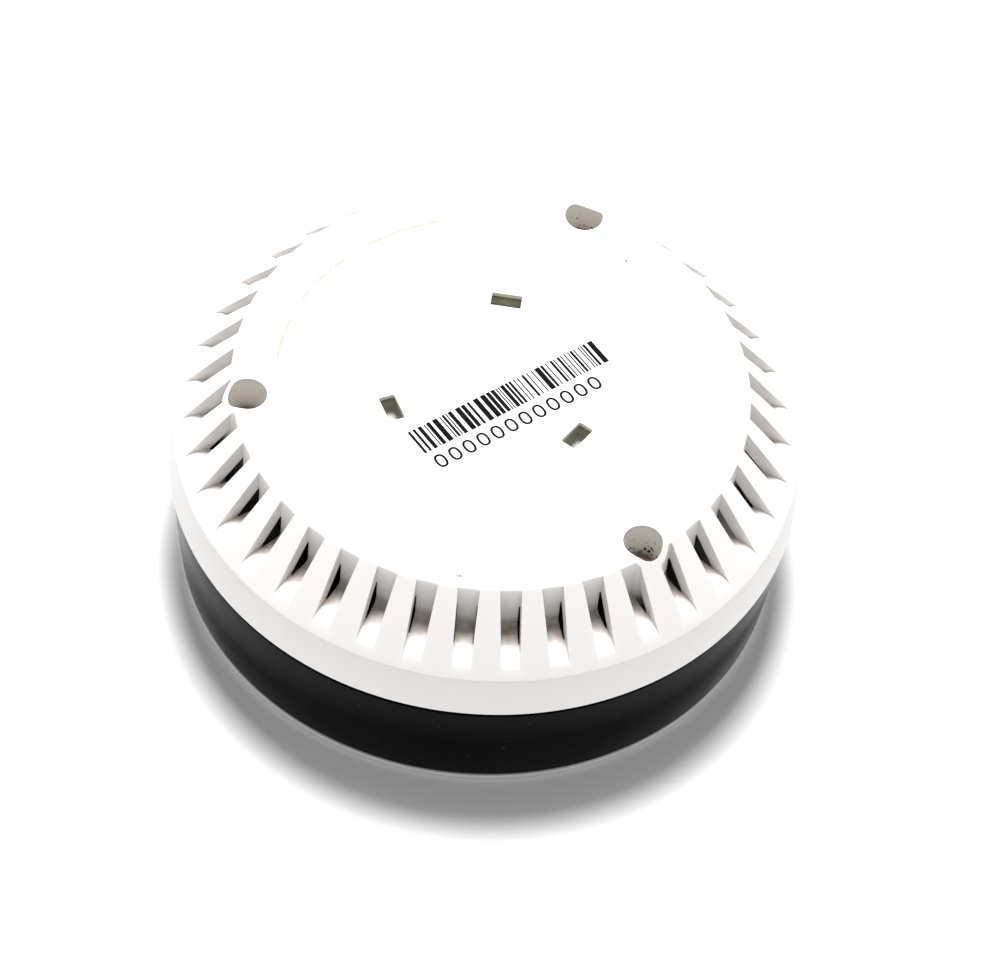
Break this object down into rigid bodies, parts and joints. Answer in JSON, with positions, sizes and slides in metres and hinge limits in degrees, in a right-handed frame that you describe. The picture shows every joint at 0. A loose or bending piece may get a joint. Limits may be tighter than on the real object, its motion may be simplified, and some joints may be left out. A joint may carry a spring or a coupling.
{
  "type": "carbon monoxide detector",
  "caption": "Round ceiling-type carbon monoxide alarm, white covers, black gloss band, a ring of vent slots, lying with its back up.",
  "frame": {"origin": "middle of the front face that it rests on", "axes": "+Z from the front face to the back plate, up as it lies; +X to the right as seen from the side -Y"},
  "size_m": [0.12, 0.12, 0.0476],
  "materials": {
    "white_plastic": "satin moulded ABS",
    "label_paper": "smooth sticker",
    "black_gloss": "polished",
    "black_plastic": "satin",
    "screw_steel": "dark passivated",
    "clear_plastic": "clear",
    "board_green": "solder mask",
    "brass": "satin",
    "nickel": "plated",
    "cell_sleeve": "shrink sleeve",
    "sensor_case": "moulded",
    "chip_black": "moulded",
    "led_green": "clear tinted",
    "led_red": "clear tinted",
    "led_amber": "clear tinted"
  },
  "bodies": {
    "case": {"back_cover": "white_plastic", "back_label": "label_paper", "case_screw_a": "screw_steel", "case_screw_b": "screw_steel", "case_screw_c": "screw_steel", "side_band": "black_gloss", "dust_screen": "black_plastic", "front_cover": "white_plastic", "test_switch": "nickel", "light_guide": "clear_plastic", "power_led": "led_green", "alarm_led": "led_red", "fault_led": "led_amber", "horn_chamber": "black_plastic", "piezo_disc": "brass", "main_board": "board_green", "board_screw_a": "nickel", "board_screw_b": "nickel", "board_screw_c": "nickel", "co_sensor": "sensor_case", "sensor_cap": "black_plastic", "battery_tray": "black_plastic", "battery_a": "cell_sleeve", "battery_b": "cell_sleeve", "battery_contact_a": "nickel", "battery_contact_b": "nickel", "mcu_chip": "chip_black", "boost_coil": "brass", "reservoir_capacitor": "nickel"},
    "button": {"test_button": "white_plastic"},
    "plunger": {"switch_plunger": "black_plastic"}
  },
  "joints": [
    {"name": "button_press", "type": "slide", "parent": "case", "child": "button", "axis": [0, 0, 1], "range_m": [0, 0.0005], "stiffness_N_per_m": 1000},
    {"name": "plunger_travel", "type": "slide", "parent": "case", "child": "plunger", "axis": [0, 0, 1], "range_m": [0, 0.0005]}
  ],
  "couplings": [
    {"joint": "plunger_travel", "follows": "button_press", "ratio": 1}
  ]
}
